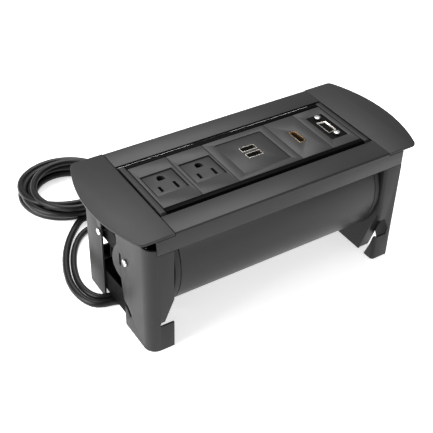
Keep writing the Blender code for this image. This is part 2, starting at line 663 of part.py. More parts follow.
def make_inside(looks):
    """Terminal block and the leads between the hollow hub, the block, the outlets and the charger."""
    low = AXIS_Z - FLAT + 1.6 + GAP
    box("terminal_block", (-24.0, -11.0, low), (4.0, 11.0, low + 13.0), looks["acetal"])
    route = [(-86.0, 0.0, 65.5), (-72.0, 0.0, 65.5), (-52.0, 0.0, 52.0), (-36.0, 0.0, 36.0), (-24.6, 0.0, 33.0)]
    cord_tube("supply_lead", route, 6.4, looks["cord"], spacing=8.0)


# ---------------------------------------------------------------- cords

# Both cords leave the guide downwards, cross the surface through the cut-out and run round to the rear.
POWER_BASE = (-109.0, -16.6, 54.3)
SIGNAL_BASE = (-100.8, -16.6, 54.3)
RELIEF_WAY = (0.0, -0.5, -0.866)

POWER_ROUTE = [
    (-109.0, -27.4, 35.7), (-109.0, -28.9, 33.1), (-108.3, -30.2, 28.6), (-106.6, -29.6, 21.5), (-104.3, -26.9, 13.8), (-102.2, -21.9, 8.0),
    (-101.0, -15.5, 4.6), (-101.2, -8.5, 3.2), (-103.6, -1.6, 3.2), (-108.2, 3.6, 3.2), (-114.5, 6.8, 3.2),
    (-121.5, 8.3, 3.2), (-127.5, 11.3, 3.2), (-131.8, 17.4, 3.2), (-134.4, 27.0, 3.2), (-134.6, 42.0, 3.2),
    (-130.4, 59.0, 3.2), (-123.0, 76.0, 3.2), (-113.4, 91.0, 3.2), (-104.6, 100.4, 3.2), (-98.4, 104.2, 3.2),
]
SIGNAL_ROUTE = [
    (-100.8, -27.4, 35.7), (-100.8, -28.9, 33.1), (-100.4, -30.2, 28.6), (-99.3, -29.6, 21.5), (-97.3, -26.9, 13.6), (-95.4, -21.6, 7.4),
    (-94.3, -14.8, 3.9), (-94.4, -7.4, 3.0), (-96.6, 0.4, 3.0), (-101.2, 7.4, 3.0), (-107.2, 12.2, 3.0),
    (-114.0, 14.2, 3.0), (-120.2, 15.8, 3.0), (-125.0, 20.6, 3.0), (-127.9, 29.0, 3.0), (-128.3, 41.0, 3.0),
    (-124.6, 56.6, 3.0), (-117.6, 72.6, 3.0), (-108.4, 86.2, 3.0), (-97.4, 95.4, 3.0), (-84.0, 98.6, 3.0),
    (-68.0, 96.0, 3.0), (-48.0, 88.6, 3.0), (-26.0, 81.4, 3.0), (-4.0, 77.0, 3.0), (20.0, 74.8, 3.0),
    (40.0, 74.6, 3.0), (54.0, 76.4, 3.0),
]
POWER_TAIL = [
    (-54.6, 112.6, 5.0), (-49.0, 116.8, 7.6), (-43.0, 119.4, 11.2), (-37.0, 120.4, 14.4), (-32.0, 120.4, 15.2),
    (-28.0, 120.4, 15.2),
]
SIGNAL_TAIL = [(98.8, 93.4, 4.0), (102.6, 98.0, 4.4), (107.4, 101.4, 5.2), (113.0, 102.6, 6.0), (118.0, 102.6, 6.2)]


def make_relief(name, base, diameter, look):
    """Tapered strain relief, thick at the guide and nearly cord-thin at its tip."""
    way = Vector(RELIEF_WAY).normalized()
    start = Vector(base)
    tip = start + way * RELIEF
    return cord_tube(name, [start, start + way * RELIEF * 0.5, tip], diameter, look, (1.35, 1.1), 7.0)


def make_coil(name, centre, turns, top, look):
    """Outer shape of the wound turns: a ring with rounded edges."""
    bm = bmesh.new()
    low, edge = COIL_LOW, 3.0
    near, far = turns
    section = [
        (near, low + edge), (near + edge, low), (far - edge, low), (far, low + edge),
        (far, top - edge), (far - edge, top), (near + edge, top), (near, top - edge),
    ]
    verts = [bm.verts.new(Vector((centre[0] + r, centre[1], z)) * MM) for r, z in section]
    edges = [bm.edges.new((verts[i], verts[(i + 1) % 8])) for i in range(8)]
    bmesh.ops.spin(
        bm, geom=verts + edges, cent=Vector((*centre, 0)) * MM, axis=(0, 0, 1),
        angle=2 * math.pi, steps=48, use_merge=True,
    )
    return add_object(name, bm, look)


def make_tie(name, centre, turns, angle, top, look):
    """Strap round the whole bundle of turns."""
    bm = bmesh.new()
    rings = []
    for grow in (0.3, 1.3):
        low = COIL_LOW - grow
        near, far = turns[0] - grow - 0.7, turns[1] + grow
        spots = [(near, low), (far, low), (far, top + grow), (near, top + grow)]
        for y in (-3.5, 3.5):
            rings.append([bm.verts.new(Vector((r, y, z)) * MM) for r, z in spots])
    inner_a, inner_b, outer_a, outer_b = rings
    for first, second in ((inner_a, inner_b), (inner_b, outer_b), (outer_b, outer_a), (outer_a, inner_a)):
        for i in range(4):
            bm.faces.new((first[i], first[(i + 1) % 4], second[(i + 1) % 4], second[i]))
    place = Matrix.Translation(Vector((*centre, 0)) * MM) @ Matrix.Rotation(math.radians(angle), 4, "Z")
    bmesh.ops.transform(bm, matrix=place, verts=bm.verts)
    return add_object(name, bm, look)


def make_power_plug(looks):
    """Straight grounded plug lying on its side, blades along +X."""
    tail = POWER_TAIL[-1]
    middle = (tail[1], tail[2])
    back = tail[0] + 2 * GAP
    body = prism("power_plug", circle(middle, 14.2, 24), 0, back + 17, back + 33, looks["dark"])
    weld_prism(body, circle(middle, 9.4, 20), 0, back + 8, back + 18)
    weld_prism(body, circle(middle, 5.2, 16), 0, back, back + 9)
    face = back + 33 + GAP
    blades = prism("power_plug_blades", circle(middle, 12.6, 20), 0, face, face + 1.2, looks["brass"])
    for z in (middle[1] - 6.35, middle[1] + 6.35):
        spots = [(middle[0] - 9.1, z - 0.75), (middle[0] - 2.9, z - 0.75), (middle[0] - 2.9, z + 0.75), (middle[0] - 9.1, z + 0.75)]
        weld_prism(blades, spots, 0, face + 0.6, face + 17.5)
    weld_prism(blades, circle((middle[0] + 5.9, middle[1]), 2.4, 12), 0, face + 0.6, face + 20.5)


def make_signal_plug(looks):
    """Small video plug: moulded grip, short neck and metal nose along +X."""
    tail = SIGNAL_TAIL[-1]
    back = tail[0] + 2 * GAP
    y = tail[1]
    body = box("signal_plug", (back + 6, y - 10.0, 0.8), (back + 27, y + 10.0, 11.6), looks["dark"])
    weld_prism(body, circle((y, 6.2), 4.4, 14), 0, back, back + 7)
    box("signal_plug_nose", (back + 27 + GAP, y - 7.0, 4.0), (back + 38, y + 7.0, 8.4), looks["nickel"])


def make_apron(look):
    """Thin steel apron behind the cut-out: closes its lower part above the cords, held by the front guide screw."""
    low = BAY_PLATE + SHEET + GAP
    outline = [(-26.0, 7.4), (22.0, 7.4), (22.0, 27.0), (-8.0, 29.0), (-16.5, 36.0), (-16.5, 70.0), (-26.0, 70.0)]
    apron = prism("cord_apron", outline, 0, low, low + APRON, look)
    drill(apron, 0, (-SCREW_Y, AXIS_Z - 1), 1.8, low - 1, low + APRON + 1, 16)
    return apron


def make_cord_guide(look):
    """Moulded guide on the side plate, with two bosses to the inner plate: turns both cords down from the hub."""
    plate = [(-26.0, 57.5), (26.0, 57.5), (26.0, 73.0), (-26.0, 73.0)]
    low = BAY_PLATE + SHEET + APRON + 2 * GAP
    guide = prism("cord_guide", plate, 0, low, low + 2.5, look)
    block = [(-9.8, 55.3), (-15.0, 60.0), (-14.0, 74.0), (-8.0, 78.0), (8.0, 78.0), (14.0, 74.0), (14.0, 59.0), (4.0, 54.0)]
    weld_prism(guide, block, 0, low + 1.0, -101.0)
    nose = [(-21.2, 57.2), (-11.8, 51.8), (-9.6, 55.4), (-19.0, 60.8)]
    weld_prism(guide, nose, 0, low + 0.2, -96.6)
    for y in (-SCREW_Y, SCREW_Y):
        weld_prism(guide, circle((y, AXIS_Z - 1), 3.4, 18), 0, low + 1.0, END_PLATE - GAP)
        drill(guide, 0, (y, AXIS_Z - 1), 1.8, low - 1, low + 16.0, 16)
    return guide


def make_cords(looks):
    cord = looks["cord"]
    make_relief("power_strain_relief", POWER_BASE, POWER_D, cord)
    make_relief("signal_strain_relief", SIGNAL_BASE, SIGNAL_D, cord)
    cord_tube("power_cord", POWER_ROUTE, POWER_D, cord)
    cord_tube("signal_cord", SIGNAL_ROUTE, SIGNAL_D, cord)
    make_coil("power_cord_coil", POWER_COIL, POWER_TURNS, POWER_COIL_TOP, cord)
    make_coil("signal_cord_coil", SIGNAL_COIL, SIGNAL_TURNS, SIGNAL_COIL_TOP, cord)
    make_tie("power_coil_tie", POWER_COIL, POWER_TURNS, -8.0, POWER_COIL_TOP, looks["dark"])
    make_tie("signal_coil_tie", SIGNAL_COIL, SIGNAL_TURNS, 60.0, SIGNAL_COIL_TOP, looks["dark"])
    cord_tube("power_cord_tail", POWER_TAIL, POWER_D, cord, spacing=5.0)
    cord_tube("signal_cord_tail", SIGNAL_TAIL, SIGNAL_D, cord, spacing=5.0)
    make_power_plug(looks)
    make_signal_plug(looks)


def main():
    clear_scene()
    looks = make_finishes()
    make_frame(looks)
    make_drum_body(looks)
    for index, (x, edges) in enumerate(zip(OUTLET_X, OUTLET_EDGES), 1):
        make_outlet(index, x, edges, looks)
    make_usb(looks)
    make_hdmi(looks)
    make_vga(looks)
    make_inside(looks)
    make_apron(looks["coat"])
    make_cord_guide(looks["dark"])
    make_cords(looks)


main()
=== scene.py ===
import math

import bmesh
import bpy
from mathutils import Matrix, Vector


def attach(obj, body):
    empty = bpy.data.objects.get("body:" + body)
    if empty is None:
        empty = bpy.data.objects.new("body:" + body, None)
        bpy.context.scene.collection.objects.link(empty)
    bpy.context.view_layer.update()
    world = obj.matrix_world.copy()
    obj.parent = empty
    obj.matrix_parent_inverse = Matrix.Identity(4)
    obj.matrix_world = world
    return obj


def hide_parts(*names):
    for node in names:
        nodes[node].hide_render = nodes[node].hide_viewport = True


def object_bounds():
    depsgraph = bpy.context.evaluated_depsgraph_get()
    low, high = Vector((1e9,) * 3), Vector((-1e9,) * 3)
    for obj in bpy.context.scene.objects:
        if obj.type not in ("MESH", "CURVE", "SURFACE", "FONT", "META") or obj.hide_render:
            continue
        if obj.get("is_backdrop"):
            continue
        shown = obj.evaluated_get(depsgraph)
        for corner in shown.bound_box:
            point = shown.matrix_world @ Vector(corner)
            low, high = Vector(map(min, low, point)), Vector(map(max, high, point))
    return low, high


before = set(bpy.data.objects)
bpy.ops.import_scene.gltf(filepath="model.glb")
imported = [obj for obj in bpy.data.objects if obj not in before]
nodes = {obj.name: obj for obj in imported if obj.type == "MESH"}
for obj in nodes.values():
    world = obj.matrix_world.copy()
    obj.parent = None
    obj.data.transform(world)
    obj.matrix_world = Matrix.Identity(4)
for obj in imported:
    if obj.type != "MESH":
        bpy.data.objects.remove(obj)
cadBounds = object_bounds()
scene = bpy.context.scene
mm = 0.001

# Sizes in millimetres
axisHeight = 65.5
deckTop = 106.5
drumRadius = 52.0
powerDiameter = 6.0
signalDiameter = 5.5
powerCentre = (-86.0, 152.0)
signalCentre = (64.0, 120.0)
reliefLength = 20.0


def linear(hexColor):
    # sRGB hex to the linear values that sockets take
    parts = [int(hexColor[i : i + 2], 16) / 255 for i in (1, 3, 5)]
    return [c / 12.92 if c <= 0.04045 else ((c + 0.055) / 1.055) ** 2.4 for c in parts]


def addNode(tree, kind, values=None, **settings):
    node = tree.nodes.new(kind)
    for key, value in settings.items():
        setattr(node, key, value)
    for key, value in (values or {}).items():
        node.inputs[key].default_value = value
    return node


def newSurface(name, color, roughness, metallic=0.0, specular=0.26):
    material = bpy.data.materials.new(name)
    material.use_nodes = True
    tree = material.node_tree
    shader = tree.nodes["Principled BSDF"]
    shader.inputs["Base Color"].default_value = (*linear(color), 1)
    shader.inputs["Roughness"].default_value = roughness
    shader.inputs["Metallic"].default_value = metallic
    shader.inputs["Specular IOR Level"].default_value = specular
    return material, tree, shader


def grain(tree, shader, scale, strength, distance, detail=3.0):
    # Fine relief on the surface, from noise in object space
    coords = addNode(tree, "ShaderNodeTexCoord")
    noise = addNode(tree, "ShaderNodeTexNoise", {"Scale": scale, "Detail": detail, "Roughness": 0.6})
    bump = addNode(tree, "ShaderNodeBump", {"Strength": strength, "Distance": distance})
    tree.links.new(coords.outputs["Object"], noise.inputs["Vector"])
    tree.links.new(noise.outputs["Fac"], bump.inputs["Height"])
    tree.links.new(bump.outputs["Normal"], shader.inputs["Normal"])
    return coords, noise


def wander(tree, shader, coords, scale, low, high):
    # Roughness that drifts a little over the surface
    noise = addNode(tree, "ShaderNodeTexNoise", {"Scale": scale, "Detail": 4.0, "Roughness": 0.55})
    spread = addNode(tree, "ShaderNodeMapRange", {"To Min": low, "To Max": high})
    tree.links.new(coords.outputs["Object"], noise.inputs["Vector"])
    tree.links.new(noise.outputs["Fac"], spread.inputs["Value"])
    tree.links.new(spread.outputs["Result"], shader.inputs["Roughness"])


def powderCoat(name, color, roughness=0.42, specular=0.26):
    # Electrostatic powder coat on folded steel: very fine orange peel
    material, tree, shader = newSurface(name, color, roughness, 0.0, specular)
    coords, _ = grain(tree, shader, 1500.0, 0.12, 0.00006)
    wander(tree, shader, coords, 60.0, roughness - 0.04, roughness + 0.05)
    return material


def anodised(name, color, roughness=0.36):
    # Black anodised extrusion: satin, with faint die lines along its length
    material, tree, shader = newSurface(name, color, roughness, 0.0, 0.3)
    coords = addNode(tree, "ShaderNodeTexCoord")
    stretch = addNode(tree, "ShaderNodeMapping", {"Scale": (4.0, 1400.0, 1400.0)})
    noise = addNode(tree, "ShaderNodeTexNoise", {"Scale": 1.0, "Detail": 2.0})
    bump = addNode(tree, "ShaderNodeBump", {"Strength": 0.06, "Distance": 0.00004})
    tree.links.new(coords.outputs["Object"], stretch.inputs["Vector"])
    tree.links.new(stretch.outputs["Vector"], noise.inputs["Vector"])
    tree.links.new(noise.outputs["Fac"], bump.inputs["Height"])
    tree.links.new(bump.outputs["Normal"], shader.inputs["Normal"])
    wander(tree, shader, coords, 45.0, roughness - 0.03, roughness + 0.05)
    return material


def mouldedPlastic(name, color, roughness=0.45, strength=0.18, specular=0.26):
    # Injection-moulded polycarbonate with a fine spark-eroded texture
    material, tree, shader = newSurface(name, color, roughness, 0.0, specular)
    coords, _ = grain(tree, shader, 2600.0, strength, 0.00005)
    wander(tree, shader, coords, 80.0, roughness - 0.04, roughness + 0.06)
    return material


def platedMetal(name, color, roughness=0.25):
    # Bright zinc or nickel plating on steel
    material, tree, shader = newSurface(name, color, roughness, 1.0)
    coords, _ = grain(tree, shader, 900.0, 0.05, 0.00004)
    wander(tree, shader, coords, 300.0, roughness - 0.06, roughness + 0.1)
    return material


def cordJacket(name, color, roughness=0.38):
    # Extruded PVC cord jacket with the twist of its cores faintly showing
    material, tree, shader = newSurface(name, color, roughness)
    coords, _ = grain(tree, shader, 420.0, 0.1, 0.00012, 2.0)
    wander(tree, shader, coords, 90.0, roughness - 0.05, roughness + 0.07)
    return material


def shellWithPaintedShade(name, color, roughness):
    # The same anodised skin, with painted shade: above a set height the turned-in lip beside the deck is painted
    # near black and its specular dimmed, standing in for the shadow in the gap there
    material, tree, shader = newSurface(name, color, roughness, 0.0, 0.3)
    coords, _ = grain(tree, shader, 1800.0, 0.08, 0.00004)
    wander(tree, shader, coords, 45.0, roughness - 0.03, roughness + 0.05)
    # Height mask for the painted shade band along the lip
    height = addNode(tree, "ShaderNodeSeparateXYZ")
    lip = addNode(tree, "ShaderNodeMapRange", {"From Min": 0.0965, "From Max": 0.0985})
    paintedShadeSpecular = addNode(tree, "ShaderNodeMapRange", {"To Min": 0.3, "To Max": 0.02})
    paintedShadeTint = addNode(tree, "ShaderNodeMix", data_type="RGBA")
    paintedShadeTint.inputs[6].default_value = (*linear(color), 1)
    # Near-black colour of the painted shade band
    paintedShadeTint.inputs[7].default_value = (*linear("#020202"), 1)
    tree.links.new(coords.outputs["Object"], height.inputs["Vector"])
    tree.links.new(height.outputs["Z"], lip.inputs["Value"])
    tree.links.new(lip.outputs["Result"], paintedShadeSpecular.inputs["Value"])
    tree.links.new(lip.outputs["Result"], paintedShadeTint.inputs[0])
    tree.links.new(paintedShadeTint.outputs[2], shader.inputs["Base Color"])
    tree.links.new(paintedShadeSpecular.outputs["Result"], shader.inputs["Specular IOR Level"])
    return material


coat = powderCoat("powder_coated_steel", "#1e1e1d", 0.46)
# Painted shade: a near-black, dull copy of the powder coat, standing in for the shade inside the cord bay
coatPaintedShade = powderCoat("powder_coat_painted_shade", "#050505", 0.6, 0.06)
railFinish = anodised("anodised_rail", "#1c1c1c", 0.42)
# Drum skin with the painted shade band along the lip beside the deck
drumFinishWithPaintedShade = shellWithPaintedShade("anodised_drum_painted_shade", "#0e0e0f", 0.36)
framePlastic = mouldedPlastic("moulded_socket_frame", "#2a2a2a", 0.42)
facePlastic = mouldedPlastic("moulded_socket_face", "#222222", 0.38, 0.12)
discPlastic = mouldedPlastic("moulded_end_disc", "#0c0c0d", 0.45)
deepPlastic = mouldedPlastic("deep_black_polymer", "#020202", 0.5, 0.05, 0.05)
darkPlastic = mouldedPlastic("dark_polymer", "#040405", 0.4, 0.1)
whitePlastic = mouldedPlastic("white_acetal", "#d2d1cc", 0.4, 0.05)
zinc = platedMetal("zinc_plated_steel", "#d8d8d6", 0.22)
nickel = platedMetal("nickel_plated_shell", "#8a7a66", 0.34)
brightNickel = platedMetal("warm_nickel_plate", "#9a8060", 0.32)
silver = platedMetal("bright_tin_shell", "#c9c4bc", 0.3)
brass = platedMetal("rolled_brass", "#c29a48", 0.28)
board = mouldedPlastic("glass_epoxy_board", "#1d4a2c", 0.3, 0.05)
jacket = cordJacket("pvc_cord_jacket", "#0d0d0e", 0.34)


def addPiece(name, bm, material, slotName, body, *replaced, sharp=32):
    # Closes a bmesh into an object that rides on its body and takes its nodes' place
    bmesh.ops.recalc_face_normals(bm, faces=bm.faces)
    mesh = bpy.data.meshes.new(name)
    bm.to_mesh(mesh)
    bm.free()
    mesh.shade_smooth()
    mesh.set_sharp_from_angle(angle=math.radians(sharp))
    mesh.materials.append(material)
    thing = bpy.data.objects.new(name, mesh)
    scene.collection.objects.link(thing)
    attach(thing, body)
    if replaced:
        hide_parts(*replaced)
    return thing


def addPrism(bm, outline, axis, low, high):
    # Extrudes an outline (the two other coordinates in X, Y, Z order) along an axis, in millimetres
    spots = []
    for u, v in outline:
        place = [u, v]
        place.insert(axis, low)
        spots.append(bm.verts.new(Vector(place) * mm))
    face = bm.faces.new(spots)
    swept = bmesh.ops.extrude_face_region(bm, geom=[face])
    moved = [v for v in swept["geom"] if isinstance(v, bmesh.types.BMVert)]
    way = Vector((0, 0, 0))
    way[axis] = (high - low) * mm
    bmesh.ops.translate(bm, verts=moved, vec=way)


def arc(centre, radius, steps, start=0.0, end=360.0):
    full = abs(end - start) >= 359.9
    count = steps if full else steps + 1
    angles = [math.radians(start + (end - start) * i / steps) for i in range(count)]
    return [(centre[0] + radius * math.cos(a), centre[1] + radius * math.sin(a)) for a in angles]


def roundBox(low, high, radius, steps=5):
    # Rectangle with round corners
    (x0, y0), (x1, y1) = low, high
    r = radius
    points = arc((x1 - r, y0 + r), r, steps, -90, 0) + arc((x1 - r, y1 - r), r, steps, 0, 90)
    return points + arc((x0 + r, y1 - r), r, steps, 90, 180) + arc((x0 + r, y0 + r), r, steps, 180, 270)


def soften(thing, width, segments=2, angle=40):
    # Rounds the piece's sharp edges, as real sheet and mouldings have
    bm = bmesh.new()
    bm.from_mesh(thing.data)
    limit = math.radians(angle)
    edges = [e for e in bm.edges if e.is_manifold and e.calc_face_angle(0) > limit]
    bmesh.ops.bevel(
        bm, geom=edges, offset=width * mm, offset_type="OFFSET", affect="EDGES", segments=segments,
        profile=0.5, material=-1, clamp_overlap=True, harden_normals=False,
    )
    bm.to_mesh(thing.data)
    bm.free()
    thing.data.shade_smooth()
    thing.data.set_sharp_from_angle(angle=math.radians(40))


def cleanCopy(nodeName, material, slotName, body, width=0.0, segments=2):
    # The node's own shape with doubled points merged, flat faces joined and edges rounded
    bm = bmesh.new()
    bm.from_mesh(nodes[nodeName].data)
    bmesh.ops.remove_doubles(bm, verts=bm.verts, dist=0.00001)
    bmesh.ops.dissolve_limit(
        bm, angle_limit=math.radians(0.8), verts=bm.verts, edges=bm.edges, delimit={"NORMAL"}
    )
    thing = addPiece(nodeName + "_fine", bm, material, slotName, body, nodeName)
    if width:
        soften(thing, width, segments)
    return thing


def tune(names, material, body):
    # Nodes whose own shape is kept, with a better finish
    for nodeName in names:
        thing = nodes[nodeName]
        thing.data.materials.clear()
        thing.data.materials.append(material)


def aim(thing, right, down):
    right = Vector(right).normalized()
    up = -Vector(down).normalized()
    back = right.cross(up)
    thing.rotation_euler = Matrix((right, up, back)).transposed().to_euler()


view = bpy.data.cameras.new("view")
view.lens = 75.12
view.sensor_width = 36.0
camera = bpy.data.objects.new("view", view)
camera.location = (-0.32983, -0.46138, 0.49117)
aim(camera, (0.84549, -0.53342, 0.02475), (-0.31365, -0.53358, -0.78544))
scene.collection.objects.link(camera)
scene.camera = camera
print("camera placed")


def smoothRoute(points, spacing):
    # Even points along a Catmull-Rom curve
    knots = [Vector(p) for p in points]
    knots = [2 * knots[0] - knots[1]] + knots + [2 * knots[-1] - knots[-2]]
    fine = []
    for a, b, c, d in zip(knots, knots[1:], knots[2:], knots[3:]):
        for step in range(20):
            t = step / 20
            spot = 2 * b + (c - a) * t + (2 * a - 5 * b + 4 * c - d) * t**2 + (3 * b - a - 3 * c + d) * t**3
            fine.append(spot * 0.5)
    fine.append(knots[-2])
    total = sum((q - p).length for p, q in zip(fine, fine[1:]))
    count = max(2, round(total / spacing))
    picked = [fine[0]]
    walked = 0.0
    for p, q in zip(fine, fine[1:]):
        walked += (q - p).length
        if walked >= total * len(picked) / count and len(picked) < count:
            picked.append(q)
    return picked + [fine[-1]], total


def turns(centre, loops, start, end):
    # Hand-wound turns; one loop runs into the next over its last third
    points = []
    perTurn = 20
    for number, loop in enumerate(loops):
        after = loops[min(number + 1, len(loops) - 1)]
        last = number == len(loops) - 1
        count = round(perTurn * ((end - start) / 360 if last else 1))
        for i in range(count + (1 if last else 0)):
            t = i / perTurn
            ease = min(1.0, max(0.0, (t - 0.62) / 0.38)) if not last else 0.0
            ease = ease * ease * (3 - 2 * ease)
            x, y, radius, height = (u * (1 - ease) + v * ease for u, v in zip(loop, after))
            angle = math.radians(start) + 2 * math.pi * t
            across, along = radius * math.cos(angle), radius * math.sin(angle)
            points.append((centre[0] + x + across, centre[1] + y + along, height))
    return points


def makeCord(name, points, diameter, material, slotName, body, *replaced):
    spots, total = smoothRoute(points, diameter * 0.75)
    data = bpy.data.curves.new(name, "CURVE")
    data.dimensions = "3D"
    data.bevel_depth = diameter / 2 * mm
    data.bevel_resolution = 5
    data.use_fill_caps = True
    spline = data.splines.new("POLY")
    spline.points.add(len(spots) - 1)
    for point, spot in zip(spline.points, spots):
        point.co = (*(spot * mm), 1.0)
    data.materials.append(material)
    thing = bpy.data.objects.new(name, data)
    scene.collection.objects.link(thing)
    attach(thing, body)
    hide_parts(*replaced)
    print(name, "is", round(total), "mm long")
    return thing, total


# Route of each cord from its strain relief over the floor, then round its coil, then to its plug
powerRoute = [
    (-109.0, -26.8, 36.7), (-109.0, -28.9, 33.1), (-108.3, -30.2, 28.6), (-106.6, -29.6, 21.5),
    (-104.3, -26.9, 13.8), (-102.2, -21.9, 8.0), (-101.0, -15.5, 4.6), (-101.2, -8.5, 3.2), (-103.6, -1.6, 3.2),
    (-108.2, 3.6, 3.2), (-114.5, 6.8, 3.2), (-121.5, 8.3, 3.2), (-127.5, 11.3, 3.2), (-131.8, 17.4, 3.2),
    (-134.4, 27.0, 3.2), (-134.6, 42.0, 3.2), (-130.4, 59.0, 3.2), (-123.0, 76.0, 3.2), (-113.4, 91.0, 3.2),
    (-104.6, 101.0, 3.2), (-98.0, 107.0, 3.8),
]
signalRoute = [
    (-100.8, -26.8, 36.7), (-100.8, -28.9, 33.1), (-100.4, -30.2, 28.6), (-99.3, -29.6, 21.5),
    (-97.3, -26.9, 13.6), (-95.4, -21.6, 7.4), (-94.3, -14.8, 3.9), (-94.4, -7.4, 3.0), (-96.6, 0.4, 3.0),
    (-101.2, 7.4, 3.0), (-107.2, 12.2, 3.0), (-114.0, 14.2, 3.0), (-120.2, 15.8, 3.0), (-125.0, 20.6, 3.0),
    (-127.9, 29.0, 3.0), (-128.3, 41.0, 3.0), (-124.6, 56.6, 3.0), (-117.6, 72.6, 3.0), (-108.4, 86.2, 3.0),
    (-97.4, 95.4, 3.0), (-84.0, 98.6, 3.0), (-68.0, 96.0, 3.0), (-48.0, 88.6, 3.0), (-26.0, 81.4, 3.0),
    (-4.0, 77.0, 3.0), (20.0, 74.8, 3.0), (40.0, 76.0, 3.2),
]
# Each loop: how far its centre is off the coil's, its radius and its height
powerLoops = [
    (0.0, 0.0, 41.8, 4.7), (0.6, -0.6, 35.4, 4.7), (-0.4, 0.6, 29.0, 4.7), (-1.2, 1.4, 29.6, 10.8),
    (-1.4, 1.4, 35.2, 10.9), (-1.0, 1.0, 41.3, 11.0), (2.5, -3.0, 31.5, 17.0), (1.8, -2.8, 38.6, 17.1),
]
signalLoops = [(0.0, 0.0, radius, height) for radius, height in (
    (36.5, 4.5), (30.8, 4.5), (25.4, 4.5), (30.8, 10.1), (36.5, 10.1),
)]
powerTurns = turns(powerCentre, powerLoops, -98.0, -62.0)
signalTurns = turns(signalCentre, signalLoops, -98.0, 205.0)
powerTail = [
    (-58.6, 118.4, 17.0), (-52.0, 119.9, 16.7), (-46.0, 120.4, 16.2), (-41.0, 120.4, 15.6), (-36.0, 120.4, 15.2),
    (-31.8, 120.4, 15.2), (-27.8, 120.4, 15.2),
]
signalTail = [(98.8, 94.4, 6.4), (102.6, 98.0, 5.6), (107.4, 101.4, 5.4), (113.0, 102.6, 6.0), (118.2, 102.6, 6.2)]

powerCord, powerLength = makeCord(
    "power_cord_run", powerRoute + powerTurns + powerTail, powerDiameter, jacket, "cord_jacket", "frame",
    "power_cord", "power_cord_coil", "power_cord_tail",
)
signalCord, signalLength = makeCord(
    "signal_cord_run", signalRoute + signalTurns + signalTail, signalDiameter, jacket, "cord_jacket", "frame",
    "signal_cord", "signal_cord_coil", "signal_cord_tail",
)


def moulding(name, sections, material, slotName, *replaced):
    # Round moulding swept through sections given as centre, direction and radius, closed at both ends
    bm = bmesh.new()
    sides = 28
    rings = []
    for centre, way, radius in sections:
        way = Vector(way).normalized()
        side = way.orthogonal().normalized() if not rings else (side - way * side.dot(way)).normalized()
        other = way.cross(side)
        rings.append(
            [
                bm.verts.new((Vector(centre) + (side * math.cos(a) + other * math.sin(a)) * radius) * mm)
                for a in [2 * math.pi * i / sides for i in range(sides)]
            ]
        )
    for first, second in zip(rings, rings[1:]):
        for i in range(sides):
            bm.faces.new((first[i], first[(i + 1) % sides], second[(i + 1) % sides], second[i]))
    bm.faces.new(rings[0])
    bm.faces.new(rings[-1])
    return addPiece(name, bm, material, slotName, "frame", *replaced, sharp=40)


def strainRelief(name, x, diameter, *replaced):
    # Tapered relief with the ribs that let it flex
    start = Vector((x, -16.6, 54.3))
    way = Vector((0.0, -0.5, -0.866))
    sections = []
    steps = 40
    for i in range(steps + 1):
        share = i / steps
        radius = diameter / 2 * (1.35 - 0.23 * share)
        if 0.2 < share < 0.94 and i % 5 in (2, 3):
            radius -= 0.35
        sections.append((start + way * reliefLength * share, way, radius))
    return moulding(name, sections, darkPlastic, "cord_jacket", *replaced)


powerRelief = strainRelief("power_relief_ribbed", -109.0, powerDiameter, "power_strain_relief")
signalRelief = strainRelief("signal_relief_ribbed", -100.8, signalDiameter, "signal_strain_relief")


def makePowerPlug():
    # Three-pin plug: ribbed neck, waisted grip, round face
    back = -27.4
    centre = (120.4, 15.2)
    profile = [
        (0.0, 4.0), (0.6, 4.7), (3.0, 4.9), (3.6, 4.4), (5.0, 4.5), (5.6, 5.1), (7.4, 5.2), (8.0, 4.7), (9.4, 5.0),
        (11.0, 7.4), (13.0, 9.0), (16.0, 9.4), (19.0, 10.2), (22.0, 12.4), (24.0, 13.8), (25.2, 14.1), (31.8, 14.1),
        (32.6, 13.8), (33.0, 13.0),
    ]
    sections = [((back + along, *centre), (1, 0, 0), radius) for along, radius in profile]
    return moulding("power_plug_grip", sections, darkPlastic, "dark_polymer", "power_plug")


powerPlug = makePowerPlug()
powerBlades = cleanCopy("power_plug_blades", brass, "brass_contact", "frame", 0.15, 1)
signalPlug = cleanCopy("signal_plug", darkPlastic, "dark_polymer", "frame", 0.9, 3)
signalNose = cleanCopy("signal_plug_nose", nickel, "nickel_shell", "frame", 0.4, 2)


def makeTie(name, centre, near, far, angle, top, *replaced):
    # Strap closed round the turns, with round corners
    bm = bmesh.new()
    low = 1.6
    rings = []
    for grow, y in ((0.3, -3.5), (0.3, 3.5), (1.3, 3.5), (1.3, -3.5)):
        outline = roundBox((near - 0.7 - grow, low - grow), (far + grow, top + grow), 2.6 + grow, 6)
        rings.append([bm.verts.new(Vector((r, y, z)) * mm) for r, z in outline])
    for first, second in zip(rings, rings[1:] + rings[:1]):
        for i in range(len(first)):
            j = (i + 1) % len(first)
            bm.faces.new((first[i], first[j], second[j], second[i]))
    place = Matrix.Translation(Vector((*centre, 0)) * mm) @ Matrix.Rotation(math.radians(angle), 4, "Z")
    bmesh.ops.transform(bm, matrix=place, verts=bm.verts)
    return addPiece(name, bm, darkPlastic, "dark_polymer", "frame", *replaced)


powerTie = makeTie("power_tie_strap", powerCentre, 24.5, 46.0, -8.0, 20.2, "power_coil_tie")
signalTie = makeTie("signal_tie_strap", signalCentre, 22.6, 39.4, 60.0, 13.0, "signal_coil_tie")

print("cords laid")


for railName in ("front_rail", "rear_rail"):
    cleanCopy(railName, railFinish, "black_anodised", "frame", 0.1, 2)


